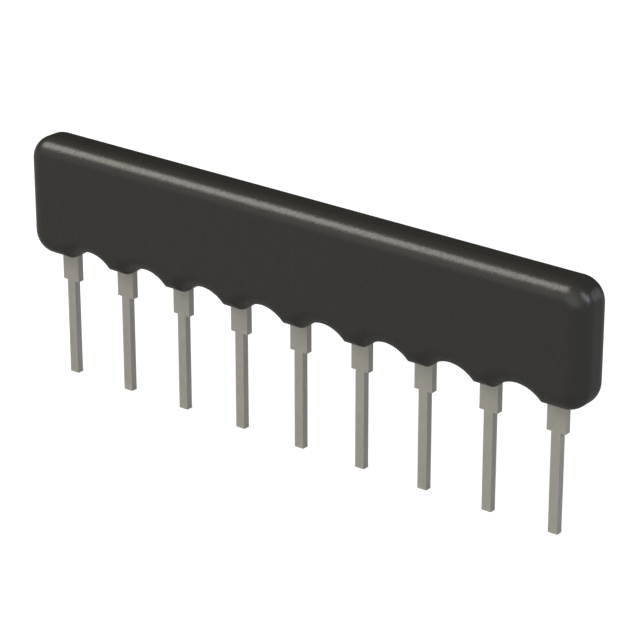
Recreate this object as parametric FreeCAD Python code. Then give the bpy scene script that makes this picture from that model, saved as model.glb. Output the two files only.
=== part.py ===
import FreeCAD, Part
import math
import os

# Lead row: a single row of flat leads on the standard board pitch
lead_count = 9
lead_pitch = 2.54
lead_thickness = 0.25
pin_width = 0.35
pin_length = 3.50
shoulder_width = 0.70

# Coated body, measured from the seating plane under the lead shoulders
standoff = 0.98
body_height = 4.28
body_thickness = 1.63
end_overhang = 1.28
corner_radius = 0.83
edge_radius = 0.63
scallop_depth = 0.39

# Clip head, where each lead grips the lower edge of the ceramic plate
clip_flare = 0.19
clip_cover = 0.03
neck_cover = 0.17
center_finger_width = 0.42
finger_slit = 0.05
slope_angle = 50.0
grip_length = 0.90
tip_chamfer = 0.08

# Ceramic plate inside the coating
substrate_thickness = 0.50
substrate_end_wall = 0.49
substrate_top_wall = 0.36

# Printed films on the front of the plate, thicker than the real prints
conductor_thickness = 0.04
resistor_thickness = 0.07
glaze_thickness = 0.04
pad_margin = 0.11
pad_edge_gap = 0.10
terminal_height = 0.24
bus_height = 0.45
bus_edge_gap = 0.20
riser_width = 0.60
resistor_width = 1.00
film_lap = 0.20
glaze_margin = 0.04
trim_cut_width = 0.06
trim_cut_share = 0.45

# Solder on the front finger of each clip
solder_spread = 0.20
solder_crest = 0.03
solder_height = 0.19
solder_edge_gap = 0.03

# Places that follow from the sizes above
row_length = (lead_count - 1) * lead_pitch
body_length = row_length + 2 * end_overhang
body_top = standoff + body_height
clip_width = shoulder_width + 2 * clip_flare
clip_start = standoff + scallop_depth + clip_cover
pad_width = clip_width + 2 * pad_margin
substrate_length = body_length - 2 * substrate_end_wall
substrate_top = body_top - substrate_top_wall
bus_top = substrate_top - bus_edge_gap
bus_bottom = bus_top - bus_height


def slope_height(offset):
    """Height in which the sloped part of a finger moves sideways by offset."""
    return offset / math.tan(math.radians(slope_angle))


bend_shift = lead_thickness / 2 * math.tan(math.radians(slope_angle / 2))
back_offset = (substrate_thickness + lead_thickness) / 2
front_offset = back_offset + conductor_thickness
substrate_bottom = clip_start + slope_height(front_offset) + 2 * bend_shift
finger_tip = substrate_bottom + grip_length
pad_bottom = substrate_bottom + pad_edge_gap
terminal_bottom = finger_tip + solder_spread + solder_edge_gap
terminal_top = terminal_bottom + terminal_height


def point(x, y, z):
    return FreeCAD.Vector(x, y, z)


def line(start, end):
    return Part.LineSegment(start, end).toShape()


def arc(start, middle, end):
    return Part.Arc(start, middle, end).toShape()


def flat_piece(corners, front, depth):
    """Flat piece with its outline in X and Z, from y = front to y = front + depth."""
    outline = [point(x, front, z) for x, z in corners]
    face = Part.Face(Part.makePolygon(outline + [outline[0]]))
    return face.extrude(point(0, depth, 0))


def rectangle(left, right, bottom, top):
    return [(left, bottom), (right, bottom), (right, top), (left, top)]


def lead_places():
    """X of each lead's centre line, from lead 1 at the left."""
    return [number * lead_pitch - row_length / 2 for number in range(lead_count)]


def edge_round():
    """Radius of the long edges, limited by the wall, the corners and the lobes."""
    half_chord = (lead_pitch - shoulder_width) / 2
    lobe_turn = 2 * math.atan(scallop_depth / half_chord)
    lobe_limit = shoulder_width / (2 * math.tan(lobe_turn / 2))
    return min(edge_radius, 0.49 * body_thickness, 0.95 * corner_radius, 0.95 * lobe_limit)


def underside(front):
    """Lower edge of the body: a flat lobe at each lead and a shallow arch between."""
    half_lobe = shoulder_width / 2
    places = lead_places()
    edges = []
    start = point(-body_length / 2, front, standoff)
    for left_lead, right_lead in zip(places, places[1:]):
        arch_start = point(left_lead + half_lobe, front, standoff)
        arch_top = point((left_lead + right_lead) / 2, front, standoff + scallop_depth)
        arch_end = point(right_lead - half_lobe, front, standoff)
        edges.append(line(start, arch_start))
        edges.append(arc(arch_start, arch_top, arch_end))
        start = arch_end
    edges.append(line(start, point(body_length / 2, front, standoff)))
    return edges


def body_form():
    """Outer form of the dipped body, solid right through."""
    front = -body_thickness / 2
    half = body_length / 2
    edges = underside(front)
    edges.append(line(point(half, front, standoff), point(half, front, body_top)))
    edges.append(line(point(half, front, body_top), point(-half, front, body_top)))
    edges.append(line(point(-half, front, body_top), point(-half, front, standoff)))
    slab = Part.Face(Part.Wire(edges)).extrude(point(0, body_thickness, 0))

    def is_corner(edge):
        box = edge.BoundBox
        at_end = abs(abs(box.Center.x) - half) < 1e-6
        return at_end and box.XLength < 1e-6 and box.ZLength < 1e-6

    def is_long_edge(edge):
        return edge.BoundBox.YLength < 1e-6

    slab = slab.makeFillet(corner_radius, [edge for edge in slab.Edges if is_corner(edge)])
    return slab.makeFillet(edge_round(), [edge for edge in slab.Edges if is_long_edge(edge)])


def clip_finger(left, width, offset, side):
    """One finger: set off from the strip's plane by offset, then up along the plate.

    side is -1 for the front of the plate and 1 for its back.
    """
    half = lead_thickness / 2
    inner = offset - half
    outer = offset + half
    upper_bend = clip_start + bend_shift + slope_height(offset)
    profile = [
        (-half, clip_start),
        (-half, clip_start + 2 * bend_shift),
        (inner, upper_bend + bend_shift),
        (inner, finger_tip - tip_chamfer),
        (inner + tip_chamfer, finger_tip),
        (outer, finger_tip),
        (outer, upper_bend - bend_shift),
        (half, clip_start),
    ]
    outline = [point(left, side * across, height) for across, height in profile]
    face = Part.Face(Part.makePolygon(outline + [outline[0]]))
    return face.extrude(point(width, 0, 0))


def lead(center):
    """One lead, stamped from strip: pin, shoulder, flared neck and three fingers."""
    half_pin = pin_width / 2
    half_shoulder = shoulder_width / 2
    half_clip = clip_width / 2
    right_side = [
        (half_pin, -pin_length),
        (half_pin, 0),
        (half_shoulder, 0),
        (half_shoulder, standoff + neck_cover),
        (half_clip, clip_start),
    ]
    left_side = [(-x, z) for x, z in reversed(right_side)]
    corners = [(center + x, z) for x, z in right_side + left_side]
    strip = flat_piece(corners, -lead_thickness / 2, lead_thickness)

    half_center = center_finger_width / 2
    outer_start = half_center + finger_slit
    outer_width = half_clip - outer_start
    fingers = [
        clip_finger(center - half_center, center_finger_width, front_offset, -1),
        clip_finger(center - half_clip, outer_width, back_offset, 1),
        clip_finger(center + outer_start, outer_width, back_offset, 1),
    ]
    return strip.fuse(fingers).removeSplitter()


def substrate():
    """Plain ceramic plate, snapped from a scribed sheet, so its edges are square."""
    half = substrate_length / 2
    corners = rectangle(-half, half, substrate_bottom, substrate_top)
    return flat_piece(corners, -substrate_thickness / 2, substrate_thickness)


def film(corners, thickness):
    """Printed film on the front of the plate."""
    return flat_piece(corners, -substrate_thickness / 2, -thickness)


def lead_pad(center):
    """Conductor under one clip, with a tab that the resistor laps over."""
    half_pad = pad_width / 2
    half_tab = resistor_width / 2 + glaze_margin
    corners = [
        (center - half_pad, pad_bottom),
        (center + half_pad, pad_bottom),
        (center + half_pad, terminal_bottom),
        (center + half_tab, terminal_bottom),
        (center + half_tab, terminal_top),
        (center - half_tab, terminal_top),
        (center - half_tab, terminal_bottom),
        (center - half_pad, terminal_bottom),
    ]
    return film(corners, conductor_thickness)


def common_conductor():
    """Pad of lead 1, its riser, and the bus that all the resistors share."""
    first = lead_places()[0]
    last = lead_places()[-1]
    half_pad = pad_width / 2
    half_riser = riser_width / 2
    corners = [
        (first - half_pad, pad_bottom),
        (first + half_pad, pad_bottom),
        (first + half_pad, terminal_bottom),
        (first + half_riser, terminal_bottom),
        (first + half_riser, bus_bottom),
        (last + resistor_width / 2 + glaze_margin, bus_bottom),
        (last + resistor_width / 2 + glaze_margin, bus_top),
        (first - half_riser, bus_top),
        (first - half_riser, terminal_bottom),
        (first - half_pad, terminal_bottom),
    ]
    return film(corners, conductor_thickness)


def trim_cut(center, thickness):
    """Slot that a laser burns into a resistor from its left edge to raise its value."""
    left = center - resistor_width / 2 - glaze_margin / 2
    right = center + resistor_width * (trim_cut_share - 0.5)
    middle = (terminal_top + bus_bottom) / 2
    half_cut = trim_cut_width / 2
    return film(rectangle(left, right, middle - half_cut, middle + half_cut), thickness)


def resistor(center, conductors):
    """Resistive film between two conductors, lapped over the end of each."""
    half = resistor_width / 2
    corners = rectangle(center - half, center + half,
                        terminal_top - film_lap, bus_bottom + film_lap)
    printed = film(corners, resistor_thickness)
    return printed.cut(conductors + [trim_cut(center, resistor_thickness)])


def overglaze(conductors, resistors):
    """Glass printed over all the resistors and the bus, open at each trim cut."""
    places = lead_places()
    half = resistor_width / 2 + 2 * glaze_margin
    corners = rectangle(places[0] - riser_width / 2 - glaze_margin, places[-1] + half,
                        terminal_top - film_lap - glaze_margin, bus_top + glaze_margin)
    thickness = resistor_thickness + glaze_thickness
    cuts = [trim_cut(center, thickness) for center in places[1:]]
    return film(corners, thickness).cut(conductors + resistors + cuts)


def solder(center, lead_shape):
    """Solder that climbs from the pad up the sides and tip of the front finger."""
    half_finger = center_finger_width / 2
    pad_face = -(substrate_thickness / 2 + conductor_thickness)
    bottom = pad_bottom + solder_edge_gap

    def ring(spread, face):
        corners = rectangle(center - half_finger - spread, center + half_finger + spread,
                            bottom, finger_tip + spread)
        outline = [point(x, face, z) for x, z in corners]
        return Part.makePolygon(outline + [outline[0]])

    foot = ring(solder_spread, pad_face)
    crest = ring(solder_crest, pad_face - solder_height)
    return Part.makeLoft([foot, crest], True, True).cut(lead_shape)


def build_nodes():
    """All pieces of the network, each as a closed solid under its own name."""
    places = lead_places()
    nodes = {"substrate": substrate(), "common_conductor": common_conductor()}
    for number, center in enumerate(places[1:], start=2):
        nodes[f"lead_pad_{number}"] = lead_pad(center)
    conductors = [shape for name, shape in nodes.items() if name != "substrate"]

    resistors = [resistor(center, conductors) for center in places[1:]]
    for number, shape in enumerate(resistors, start=1):
        nodes[f"resistor_{number}"] = shape
    nodes["overglaze"] = overglaze(conductors, resistors)

    for number, center in enumerate(places, start=1):
        lead_shape = lead(center)
        nodes[f"lead_{number}"] = lead_shape
        nodes[f"solder_{number}"] = solder(center, lead_shape)

    nodes["coating"] = body_form().cut(list(nodes.values()))
    return nodes


def main():
    os.makedirs("parts", exist_ok=True)
    for name, shape in build_nodes().items():
        solids = shape.Solids
        print(f"{name}: {len(solids)} solid, {shape.Volume:.4f} mm3")
        piece = solids[0] if len(solids) == 1 else Part.makeCompound(solids)
        piece.exportStep(f"parts/{name}.step")


main()
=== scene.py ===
# %% [markdown]
# A resistor network in a single row of leads. A ceramic plate with printed resistors is dipped
# in dark epoxy, so its body has soft edges all round, and the epoxy hangs a little lower at each
# lead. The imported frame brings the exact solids. This lesson gives them their looks: it makes a
# material for every surface, models the smooth epoxy body anew, and sets up a small studio. The
# stamped leads and the pieces inside the body are shown as the solids that they are. All lengths
# are in metres, in the frame's own axes: +X along the row from lead 1, the front face towards
# -Y, +Z up, and Z = 0 where the lead shoulders stand on a board.

# %% Load the frame
import bpy
import math
from collections import Counter
from mathutils import Matrix, Vector


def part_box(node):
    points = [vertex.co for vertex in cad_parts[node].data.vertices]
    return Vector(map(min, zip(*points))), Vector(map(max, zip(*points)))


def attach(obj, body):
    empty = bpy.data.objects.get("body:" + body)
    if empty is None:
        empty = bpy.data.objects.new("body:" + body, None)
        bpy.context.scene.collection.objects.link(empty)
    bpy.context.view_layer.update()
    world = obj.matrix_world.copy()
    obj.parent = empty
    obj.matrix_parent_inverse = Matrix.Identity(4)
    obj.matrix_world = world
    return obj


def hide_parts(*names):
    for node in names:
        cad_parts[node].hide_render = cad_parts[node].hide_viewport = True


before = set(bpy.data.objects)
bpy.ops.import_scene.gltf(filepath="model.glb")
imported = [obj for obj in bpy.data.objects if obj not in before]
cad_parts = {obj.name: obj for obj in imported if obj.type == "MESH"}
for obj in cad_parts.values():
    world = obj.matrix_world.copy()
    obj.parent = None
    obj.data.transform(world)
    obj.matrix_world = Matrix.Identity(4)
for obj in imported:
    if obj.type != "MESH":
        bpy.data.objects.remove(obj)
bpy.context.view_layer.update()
MM = 0.001

print("CAD nodes:", len(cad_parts))

# %% [markdown]
# The photo was taken from the front right, a little above, with a long lens. Its nine leads are
# evenly spaced, so their places in the photo give the camera: its angles, its distance and its
# focal length. The camera is placed by those angles around a point on the leads' middle plane.

# %% Camera
TARGET = Vector((0.80, 0.0, 1.29)) * MM
AZIMUTH = math.radians(38.154)
ELEVATION = math.radians(22.781)
DISTANCE = 92.11 * MM
SENSOR_WIDTH = 36.0
IMAGE_WIDTH = 640
FOCAL_PIXELS = 2823.7
CLIP_RATIO = 50


def add_camera():
    """Camera at the photo's viewing angle."""
    to_camera = Vector((
        math.sin(AZIMUTH) * math.cos(ELEVATION),
        -math.cos(AZIMUTH) * math.cos(ELEVATION),
        math.sin(ELEVATION),
    ))
    data = bpy.data.cameras.new("camera")
    data.sensor_width = SENSOR_WIDTH
    data.lens = SENSOR_WIDTH * FOCAL_PIXELS / IMAGE_WIDTH
    data.clip_start = DISTANCE / CLIP_RATIO
    data.clip_end = DISTANCE * CLIP_RATIO
    camera = bpy.data.objects.new("camera", data)
    camera.location = TARGET + to_camera * DISTANCE
    camera.rotation_euler = (-to_camera).to_track_quat("-Z", "Y").to_euler()
    bpy.context.scene.collection.objects.link(camera)
    bpy.context.scene.camera = camera
    return camera


camera = add_camera()
print("camera at", [round(value / MM, 2) for value in camera.location], "mm, lens",
      round(camera.data.lens, 2), "mm")

# %% [markdown]
# Every material is made from nodes. A few helpers keep that short: one starts a material, one
# adds a noise pattern, and the others turn that pattern into a range of values, a tone or a fine
# relief. The noise uses Object coordinates, which stay with the piece, so the pattern doesn't
# slide when the view changes. Each piece's object sits at the origin, so they are real lengths:
# a noise scale of 1 / size gives spots of about that size.

# %% Material helpers
NOISE_MIDDLE = (0.3, 0.7)


def start_material(name):
    """New node material. Returns it with its node tree and its main shader."""
    material = bpy.data.materials.new(name)
    material.use_nodes = True
    tree = material.node_tree
    shader = tree.nodes["Principled BSDF"]
    return material, tree, shader


def add_noise(tree, spot_size, detail=3.0, roughness=0.55):
    """Noise with spots of about spot_size, between 0 and 1."""
    coordinates = tree.nodes.new("ShaderNodeTexCoord")
    noise = tree.nodes.new("ShaderNodeTexNoise")
    noise.inputs["Scale"].default_value = 1.0 / spot_size
    noise.inputs["Detail"].default_value = detail
    noise.inputs["Roughness"].default_value = roughness
    tree.links.new(coordinates.outputs["Object"], noise.inputs["Vector"])
    return noise.outputs["Fac"]


def add_range(tree, source, low, high):
    """Spreads the middle of a noise over the values from low to high."""
    spread = tree.nodes.new("ShaderNodeMapRange")
    spread.inputs["From Min"].default_value = NOISE_MIDDLE[0]
    spread.inputs["From Max"].default_value = NOISE_MIDDLE[1]
    spread.inputs["To Min"].default_value = low
    spread.inputs["To Max"].default_value = high
    tree.links.new(source, spread.inputs["Value"])
    return spread.outputs["Result"]


def add_color_mix(tree, factor, color_a, color_b):
    """Colour between two close tones, steered by a pattern."""
    mix = tree.nodes.new("ShaderNodeMix")
    mix.data_type = "RGBA"
    mix.inputs["A"].default_value = (*color_a, 1.0)
    mix.inputs["B"].default_value = (*color_b, 1.0)
    tree.links.new(factor, mix.inputs["Factor"])
    return mix.outputs["Result"]


def add_bump(tree, shader, height, depth):
    """Fine relief of the given depth on a shader's normal."""
    bump = tree.nodes.new("ShaderNodeBump")
    bump.inputs["Distance"].default_value = depth
    bump.inputs["Strength"].default_value = 1.0
    tree.links.new(height, bump.inputs["Height"])
    tree.links.new(bump.outputs["Normal"], shader.inputs["Normal"])


def add_math(tree, kind, first, second):
    """Math node on two sources, each a socket or a plain number."""
    node = tree.nodes.new("ShaderNodeMath")
    node.operation = kind
    for socket, source in zip(node.inputs, (first, second)):
        if isinstance(source, float):
            socket.default_value = source
        else:
            tree.links.new(source, socket)
    return node.outputs["Value"]


def linear(red, green, blue):
    """Linear colour from the 0 to 255 values of a screen."""
    def channel(value):
        share = value / 255
        return share / 12.92 if share <= 0.04045 else ((share + 0.055) / 1.055) ** 2.4
    return tuple(channel(value) for value in (red, green, blue))


def tone(color, factor):
    """The same colour, lighter or darker."""
    return tuple(value * factor for value in color)


print("a screen grey of 128 is", round(linear(128, 128, 128)[0], 3), "in linear light")

# %% [markdown]
# The epoxy is a warm dark grey, nearly black, with a satin surface. Up close it has a very fine
# grain: under a lamp the highlight breaks into tiny specks. That comes from a bump of about two
# micrometres with spots of less than 0.1 mm, and from faint changes of tone and gloss.

# %% Epoxy coating material
EPOXY_COLOR = linear(52, 51, 47)
EPOXY_GRAIN = 0.07 * MM
EPOXY_MOTTLE = 0.45 * MM
EPOXY_GRAIN_DEPTH = 0.0022 * MM
EPOXY_TONES = (0.96, 1.04)
EPOXY_ROUGHNESS = (0.25, 0.34)
EPOXY_SHINE = 0.42


def epoxy_material():
    material, tree, shader = start_material("dipped_epoxy")
    grain = add_noise(tree, EPOXY_GRAIN, detail=0.0)
    mottle = add_noise(tree, EPOXY_MOTTLE, detail=4.0, roughness=0.6)
    tint = add_color_mix(tree, add_range(tree, mottle, 0.0, 1.0),
                         *(tone(EPOXY_COLOR, factor) for factor in EPOXY_TONES))
    tree.links.new(tint, shader.inputs["Base Color"])
    tree.links.new(add_range(tree, grain, *EPOXY_ROUGHNESS), shader.inputs["Roughness"])
    shader.inputs["Specular IOR Level"].default_value = EPOXY_SHINE
    add_bump(tree, shader, grain, EPOXY_GRAIN_DEPTH)
    return material


epoxy = epoxy_material()
print("material", epoxy.name)

# %% [markdown]
# The leads are copper alloy strip with a matt coat of tin. Tin is a warm light grey, and its
# rolled surface has fine lines along the strip. The noise is stretched along Z to give them.

# %% Tinned lead material
TIN_COLOR = linear(203, 200, 190)
TIN_LINE = 0.05 * MM
TIN_SPOT = 0.25 * MM
TIN_DEPTH = 0.002 * MM
TIN_TONES = (0.97, 1.03)
TIN_ROUGHNESS = (0.42, 0.55)
TIN_METALLIC = 0.75
LINE_STRETCH = 0.12


def tin_material():
    material, tree, shader = start_material("matt_tin")
    coordinates = tree.nodes.new("ShaderNodeTexCoord")
    stretch = tree.nodes.new("ShaderNodeMapping")
    stretch.inputs["Scale"].default_value = (1.0, 1.0, LINE_STRETCH)
    lines = tree.nodes.new("ShaderNodeTexNoise")
    lines.inputs["Scale"].default_value = 1.0 / TIN_LINE
    lines.inputs["Detail"].default_value = 2.0
    tree.links.new(coordinates.outputs["Object"], stretch.inputs["Vector"])
    tree.links.new(stretch.outputs["Vector"], lines.inputs["Vector"])
    spots = add_noise(tree, TIN_SPOT)
    tint = add_color_mix(tree, add_range(tree, spots, 0.0, 1.0),
                         *(tone(TIN_COLOR, factor) for factor in TIN_TONES))
    tree.links.new(tint, shader.inputs["Base Color"])
    tree.links.new(add_range(tree, lines.outputs["Fac"], *TIN_ROUGHNESS),
                   shader.inputs["Roughness"])
    shader.inputs["Metallic"].default_value = TIN_METALLIC
    add_bump(tree, shader, lines.outputs["Fac"], TIN_DEPTH)
    return material


tin = tin_material()
print("material", tin.name)

# %% [markdown]
# The pieces inside the coating are hidden in this view, but they are part of the object and are
# seen when the coating is taken off or cut. The ceramic is a fine-grained white, the conductors
# are fired silver paste, the resistors a nearly black glassy film, the overglaze a green glass,
# and the solder a bright but slightly rippled metal.

# %% Materials of the inner pieces
def speckled_material(name, spot, tones, roughness, depth, metallic=0.0, detail=3.0):
    """Material with one noise pattern behind its tone, its gloss and its relief."""
    material, tree, shader = start_material(name)
    speckle = add_noise(tree, spot, detail)
    tree.links.new(add_color_mix(tree, speckle, *tones), shader.inputs["Base Color"])
    tree.links.new(add_range(tree, speckle, *roughness), shader.inputs["Roughness"])
    shader.inputs["Metallic"].default_value = metallic
    add_bump(tree, shader, speckle, depth)
    return material


inner_materials = {
    "substrate": speckled_material(
        "alumina", spot=0.03 * MM, tones=((0.80, 0.78, 0.72), (0.90, 0.89, 0.85)),
        roughness=(0.45, 0.6), depth=0.001 * MM, detail=2.0),
    "common_conductor": speckled_material(
        "fired_silver", spot=0.04 * MM, tones=((0.52, 0.51, 0.47), (0.66, 0.65, 0.61)),
        roughness=(0.35, 0.55), depth=0.002 * MM, metallic=0.9),
    "resistor_film": speckled_material(
        "resistor_film", spot=0.05 * MM, tones=((0.008, 0.008, 0.009), (0.02, 0.02, 0.022)),
        roughness=(0.25, 0.4), depth=0.001 * MM),
    "overglaze": speckled_material(
        "green_overglaze", spot=0.3 * MM,
        tones=((0.012, 0.055, 0.035), (0.022, 0.085, 0.055)),
        roughness=(0.12, 0.2), depth=0.003 * MM),
    "solder": speckled_material(
        "solder", spot=0.12 * MM, tones=((0.50, 0.50, 0.50), (0.62, 0.62, 0.61)),
        roughness=(0.22, 0.38), depth=0.004 * MM, metallic=1.0),
}
print("inner materials:", sorted(inner_materials))

# %% Give every CAD node its material
def material_for(node):
    """Material of a CAD node, by the kind of piece that its name gives."""
    if node == "coating":
        return epoxy
    if node.startswith("lead_pad"):
        return inner_materials["common_conductor"]
    if node.startswith("lead"):
        return tin
    if node.startswith("resistor"):
        return inner_materials["resistor_film"]
    if node.startswith("solder"):
        return inner_materials["solder"]
    return inner_materials[node]


def paint_nodes():
    for name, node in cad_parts.items():
        node.data.materials.clear()
        node.data.materials.append(material_for(name))


paint_nodes()
print("painted", len(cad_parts), "nodes")

# %% [markdown]
# The body is one smooth skin, as liquid epoxy leaves it. It could be sculpted, or made from
# curves, but a slab is truer: the real form is flat front and back, with round corners in the
# outline, eight shallow arches below, and one even rounding along all the long edges. So a cube
# of the body's size gets its corners bevelled, then a second bevel of many segments rounds the
# front and back outlines, and the arches are cut last. The CAD solid stays in the frame for
# collision, hidden.

# %% Body sizes
CORNER_RADIUS = 0.83 * MM
EDGE_RADIUS = 0.63 * MM
SCALLOP_DEPTH = 0.39 * MM
SHOULDER_WIDTH = 0.70 * MM
LEAD_COUNT = 9

body_low, body_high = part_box("coating")
lead_boxes = [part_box(f"lead_{number}") for number in range(1, LEAD_COUNT + 1)]
lead_places = [(low.x + high.x) / 2 for low, high in lead_boxes]
lead_pitch = lead_places[1] - lead_places[0]
half_arch = (lead_pitch - SHOULDER_WIDTH) / 2
arch_radius = (half_arch ** 2 + SCALLOP_DEPTH ** 2) / (2 * SCALLOP_DEPTH)
print("body", [round(value / MM, 3) for value in body_high - body_low], "mm, pitch",
      round(lead_pitch / MM, 3), "mm, arch radius", round(arch_radius / MM, 3), "mm")


# %% Helpers for modelling by hand
TOUCH = 0.0001 * MM
CIRCLE_PROFILE = 0.5


def deselect_all():
    bpy.ops.object.select_all(action="DESELECT")


def make_active(piece):
    deselect_all()
    piece.select_set(True)
    bpy.context.view_layer.objects.active = piece


def apply_place(piece):
    """Moves a piece's turn, size and place into its mesh."""
    make_active(piece)
    bpy.ops.object.transform_apply(location=True, rotation=True, scale=True)


def select_edges(piece, wanted):
    """Selects in edit mode the edges that wanted accepts, by their two ends."""
    make_active(piece)
    bpy.ops.object.mode_set(mode="EDIT")
    bpy.ops.mesh.select_mode(type="EDGE")
    bpy.ops.mesh.select_all(action="DESELECT")
    bpy.ops.object.mode_set(mode="OBJECT")
    points = piece.data.vertices
    for edge in piece.data.edges:
        first, second = (points[index].co for index in edge.vertices)
        edge.select = wanted(first, second)
    bpy.ops.object.mode_set(mode="EDIT")
    return sum(edge.select for edge in piece.data.edges)


def bevel_selected(radius, segments):
    """Rounds the edges selected in edit mode, and leaves edit mode."""
    bpy.ops.mesh.bevel(offset=radius, segments=segments, profile=CIRCLE_PROFILE,
                       affect="EDGES", clamp_overlap=False)
    bpy.ops.object.mode_set(mode="OBJECT")


def apply_modifier(piece, modifier):
    make_active(piece)
    bpy.ops.object.modifier_apply(modifier=modifier.name)


# %% Slab with rounded corners
CORNER_SEGMENTS = 16


def add_slab():
    """Slab of the body's size, its four upright corners rounded."""
    deselect_all()
    bpy.ops.mesh.primitive_cube_add(size=1.0, location=(body_low + body_high) / 2)
    slab = bpy.context.active_object
    slab.name = "epoxy_body"
    slab.scale = body_high - body_low
    apply_place(slab)

    def is_corner(first, second):
        return abs(first.y - second.y) > TOUCH

    chosen = select_edges(slab, is_corner)
    bevel_selected(CORNER_RADIUS, CORNER_SEGMENTS)
    print("rounded", chosen, "corners of the slab")
    return slab


epoxy_body = add_slab()

# %% Round the long edges
EDGE_SEGMENTS = 14


def round_long_edges(slab):
    """One even rounding round the front outline and round the back outline."""
    def is_outline(first, second):
        in_front = max(first.y, second.y) < body_low.y + TOUCH
        at_back = min(first.y, second.y) > body_high.y - TOUCH
        return in_front or at_back

    chosen = select_edges(slab, is_outline)
    bevel_selected(EDGE_RADIUS, EDGE_SEGMENTS)
    return chosen


print("rounded", round_long_edges(epoxy_body), "outline edges")

# %% [markdown]
# Each arch is cut with a spool: a round bar that flares at the front face and at the back face.
# The flare leaves the same rounding on the arch's edges as the long edges have. A bevel after
# plain cuts would be shorter, but its rounding is wider than the last facets of an arch and
# would fold over itself at the lobes. Where a flare meets the straight rounding of a lobe, it
# leaves the fine crease that the photo shows. The flares start a hair outside the body, because
# a cut is only clean when no face of the cutter lies in a face of the piece.

# %% Arches between the leads
ARCH_VERTICES = 128
SPOOL_END = 0.30 * MM
SPOOL_CLEARANCE = 0.002 * MM

spool_reach = (body_high.y - body_low.y) / 2 + SPOOL_CLEARANCE


def widen_end(spool, side):
    """Draws one end of the spool out into a wide disc. Side is -1 in front, 1 at the back."""
    def is_end(first, second):
        return min(side * first.y, side * second.y) > spool_reach - TOUCH

    select_edges(spool, is_end)
    wide = (arch_radius + EDGE_RADIUS) / arch_radius
    center = (0.0, side * spool_reach, 0.0)
    bpy.ops.mesh.extrude_region_move()
    bpy.ops.transform.resize(value=(wide, 1.0, wide), center_override=center)
    bpy.ops.mesh.extrude_region_move(
        TRANSFORM_OT_translate={"value": (0.0, side * SPOOL_END, 0.0)})
    bpy.ops.object.mode_set(mode="OBJECT")


def add_spool():
    """Cutter for one arch, its axis along Y through the origin."""
    deselect_all()
    bpy.ops.mesh.primitive_cylinder_add(vertices=ARCH_VERTICES, radius=arch_radius,
                                        depth=2 * spool_reach,
                                        rotation=(math.pi / 2, 0.0, 0.0))
    spool = bpy.context.active_object
    apply_place(spool)
    widen_end(spool, -1)
    widen_end(spool, 1)

    def is_waist_rim(first, second):
        on_waist = all(math.hypot(end.x, end.z) < arch_radius + TOUCH for end in (first, second))
        same_side = abs(first.y - second.y) < TOUCH
        return on_waist and same_side

    select_edges(spool, is_waist_rim)
    bevel_selected(EDGE_RADIUS, EDGE_SEGMENTS)
    bpy.ops.object.mode_set(mode="EDIT")
    bpy.ops.mesh.select_all(action="SELECT")
    bpy.ops.mesh.remove_doubles(threshold=TOUCH)
    bpy.ops.mesh.normals_make_consistent(inside=False)
    bpy.ops.object.mode_set(mode="OBJECT")
    return spool


def cut_arch(slab, center):
    """Cuts one shallow arch midway between two leads."""
    spool = add_spool()
    height = body_low.z + SCALLOP_DEPTH - arch_radius
    spool.location = (center, (body_low.y + body_high.y) / 2, height)
    apply_place(spool)
    cut = slab.modifiers.new("arch", "BOOLEAN")
    cut.operation = "DIFFERENCE"
    cut.solver = "EXACT"
    cut.object = spool
    apply_modifier(slab, cut)
    bpy.data.objects.remove(spool)


arch_centers = [(left + right) / 2 for left, right in zip(lead_places, lead_places[1:])]
for arch_center in arch_centers:
    cut_arch(epoxy_body, arch_center)
print("cut", len(arch_centers), "arches")

# %% [markdown]
# The cuts leave a few points a hair apart, and these are merged. The print below counts open
# edges: with none, every edge is shared by two faces and the skin is closed. Then the skin is
# shaded smooth, where flat faces keep flat shading and the creases at the lobes stay crisp.

# %% Close the skin and smooth it
MERGE_DISTANCE = 0.002 * MM
SMOOTH_ANGLE = math.radians(20)


def merge_close_points(piece):
    make_active(piece)
    bpy.ops.object.mode_set(mode="EDIT")
    bpy.ops.mesh.select_all(action="SELECT")
    bpy.ops.mesh.remove_doubles(threshold=MERGE_DISTANCE)
    bpy.ops.mesh.dissolve_degenerate(threshold=MERGE_DISTANCE)
    bpy.ops.object.mode_set(mode="OBJECT")


def count_open_edges(piece):
    """Edges that are not shared by exactly two faces."""
    shared = Counter(key for polygon in piece.data.polygons for key in polygon.edge_keys)
    return sum(count != 2 for count in shared.values())


def smooth_skin(piece):
    """Smooth shading that leaves the flat faces flat."""
    make_active(piece)
    bpy.ops.object.shade_smooth_by_angle(angle=SMOOTH_ANGLE)
    weighted = piece.modifiers.new("flat_faces_first", "WEIGHTED_NORMAL")
    weighted.keep_sharp = True
    apply_modifier(piece, weighted)


merge_close_points(epoxy_body)
smooth_skin(epoxy_body)
epoxy_body.data.materials.clear()
epoxy_body.data.materials.append(epoxy)
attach(epoxy_body, "root")
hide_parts("coating")
print("body mesh:", len(epoxy_body.data.polygons), "faces,",
      count_open_edges(epoxy_body), "open edges")

# %% [markdown]
# The studio is a wide plain floor under the tips of the pins, and soft light. The photo's ground
# is pure white, while the dark body hardly mirrors it. So the floor is plain and not too bright,
# and a glow adds the white: nearly all of it for the camera, a little for shiny surfaces, and
# none for matt ones. The part's soft shadow stays on it.

# %% Floor
FLOOR_HALF_WIDTH = 600 * MM
FLOOR_COLOR = (0.30, 0.30, 0.295)
CAMERA_GLOW = 0.88
SHINE_GLOW = 0.05


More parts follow.
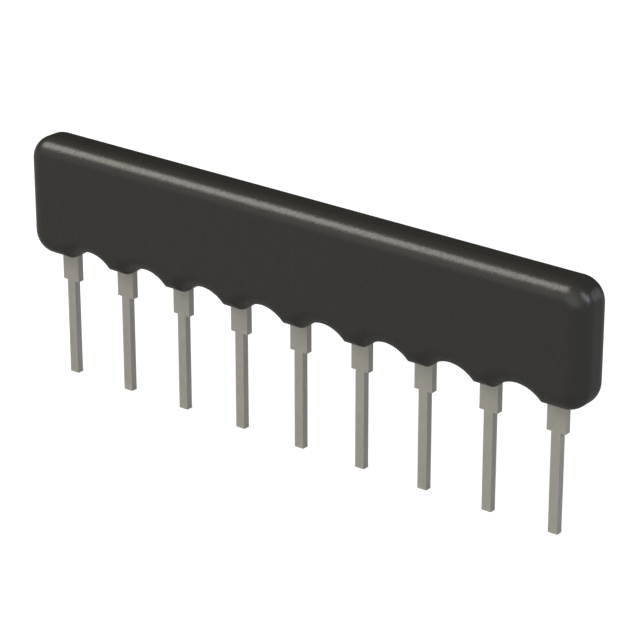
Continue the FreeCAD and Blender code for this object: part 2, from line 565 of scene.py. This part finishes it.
def floor_material():
    """Plain matt floor that glows for the camera, and a little for shiny surfaces."""
    material, tree, shader = start_material("studio_floor")
    shader.inputs["Base Color"].default_value = (*FLOOR_COLOR, 1.0)
    shader.inputs["Roughness"].default_value = 1.0
    shader.inputs["Specular IOR Level"].default_value = 0.0
    shader.inputs["Emission Color"].default_value = (1.0, 1.0, 1.0, 1.0)
    path = tree.nodes.new("ShaderNodeLightPath")
    shine = add_math(tree, "MAXIMUM", path.outputs["Is Glossy Ray"],
                     path.outputs["Is Transmission Ray"])
    for_shine = add_math(tree, "MULTIPLY", shine, SHINE_GLOW)
    for_camera = add_math(tree, "MULTIPLY", path.outputs["Is Camera Ray"], CAMERA_GLOW)
    glow = add_math(tree, "ADD", for_shine, for_camera)
    tree.links.new(glow, shader.inputs["Emission Strength"])
    return material


def add_floor():
    deselect_all()
    floor_height = min(low.z for low, high in lead_boxes)
    bpy.ops.mesh.primitive_plane_add(size=2 * FLOOR_HALF_WIDTH, location=(0, 0, floor_height))
    floor = bpy.context.active_object
    floor.name = "floor"
    floor.data.materials.append(floor_material())
    return floor


floor = add_floor()
print("floor at", round(floor.location.z / MM, 3), "mm")

# %% [markdown]
# The main lamp is a long soft box, high at the left in front, with its long side along the part.
# Its reflection draws the pale line along the body's upper front edge, equally bright all along.
# A cooler strip at the right leans as the gleam on the right-hand corner does, and a faint panel
# behind gives that gleam its second wing. The sky is brightest in front, a little to the right,
# for the leads, and dark behind, because the photo's top face is the darkest one.

# %% Lamps and sky
WARM = (1.0, 0.94, 0.86)
COOL = (0.87, 0.92, 1.0)
SKY_COLOR = (0.97, 0.98, 1.0)
SKY_CENTER = Vector((0.22, -0.97, 0.05)).normalized()
SKY_FRONT = 1.5
SKY_FALL = 4.5


def add_lamp(name, aim, along, distance, size, power, color):
    """Soft box that faces the part from the direction aim, its long side along a direction."""
    data = bpy.data.lights.new(name, "AREA")
    data.shape = "RECTANGLE"
    data.size = size[0]
    data.size_y = size[1]
    data.energy = power
    data.color = color
    lamp = bpy.data.objects.new(name, data)
    back = Vector(aim).normalized()
    side = Vector(along)
    side = (side - back * side.dot(back)).normalized()
    axes = Matrix((side, back.cross(side), back)).transposed()
    lamp.location = TARGET + back * distance
    lamp.rotation_euler = axes.to_euler()
    bpy.context.scene.collection.objects.link(lamp)
    return lamp


def add_sky():
    """Sky that is bright in front of the part and dark behind it, and white to the camera."""
    world = bpy.data.worlds.new("sky")
    world.use_nodes = True
    tree = world.node_tree
    background = tree.nodes["Background"]
    background.inputs["Color"].default_value = (*SKY_COLOR, 1.0)
    direction = tree.nodes.new("ShaderNodeTexCoord")
    toward = tree.nodes.new("ShaderNodeVectorMath")
    toward.operation = "DOT_PRODUCT"
    toward.inputs[1].default_value = SKY_CENTER
    tree.links.new(direction.outputs["Generated"], toward.inputs[0])
    facing = tree.nodes.new("ShaderNodeMapRange")
    facing.inputs["From Min"].default_value = -1.0
    facing.inputs["From Max"].default_value = 1.0
    tree.links.new(toward.outputs["Value"], facing.inputs["Value"])
    fall = add_math(tree, "POWER", facing.outputs["Result"], SKY_FALL)
    level = add_math(tree, "MULTIPLY", fall, SKY_FRONT)
    path = tree.nodes.new("ShaderNodeLightPath")
    seen = add_math(tree, "MAXIMUM", level, path.outputs["Is Camera Ray"])
    tree.links.new(seen, background.inputs["Strength"])
    bpy.context.scene.world = world


lamps = [
    add_lamp("main_soft_box", aim=(-0.54, -0.415, 0.715), along=(1.0, 0.0, 0.0),
             distance=600 * MM, size=(480 * MM, 280 * MM), power=2.72, color=WARM),
    add_lamp("side_strip", aim=(0.84, 0.10, 0.53), along=(0.36, 0.50, -0.79),
             distance=300 * MM, size=(230 * MM, 110 * MM), power=0.39, color=COOL),
    add_lamp("back_panel", aim=(0.56, 0.80, 0.22), along=(0.0, 0.0, 1.0),
             distance=300 * MM, size=(130 * MM, 130 * MM), power=0.07, color=COOL),
]
add_sky()
print("lamps:", [lamp.name for lamp in lamps])

# %% Colour management
scene = bpy.context.scene
scene.view_settings.view_transform = "Standard"
print("view transform", scene.view_settings.view_transform)
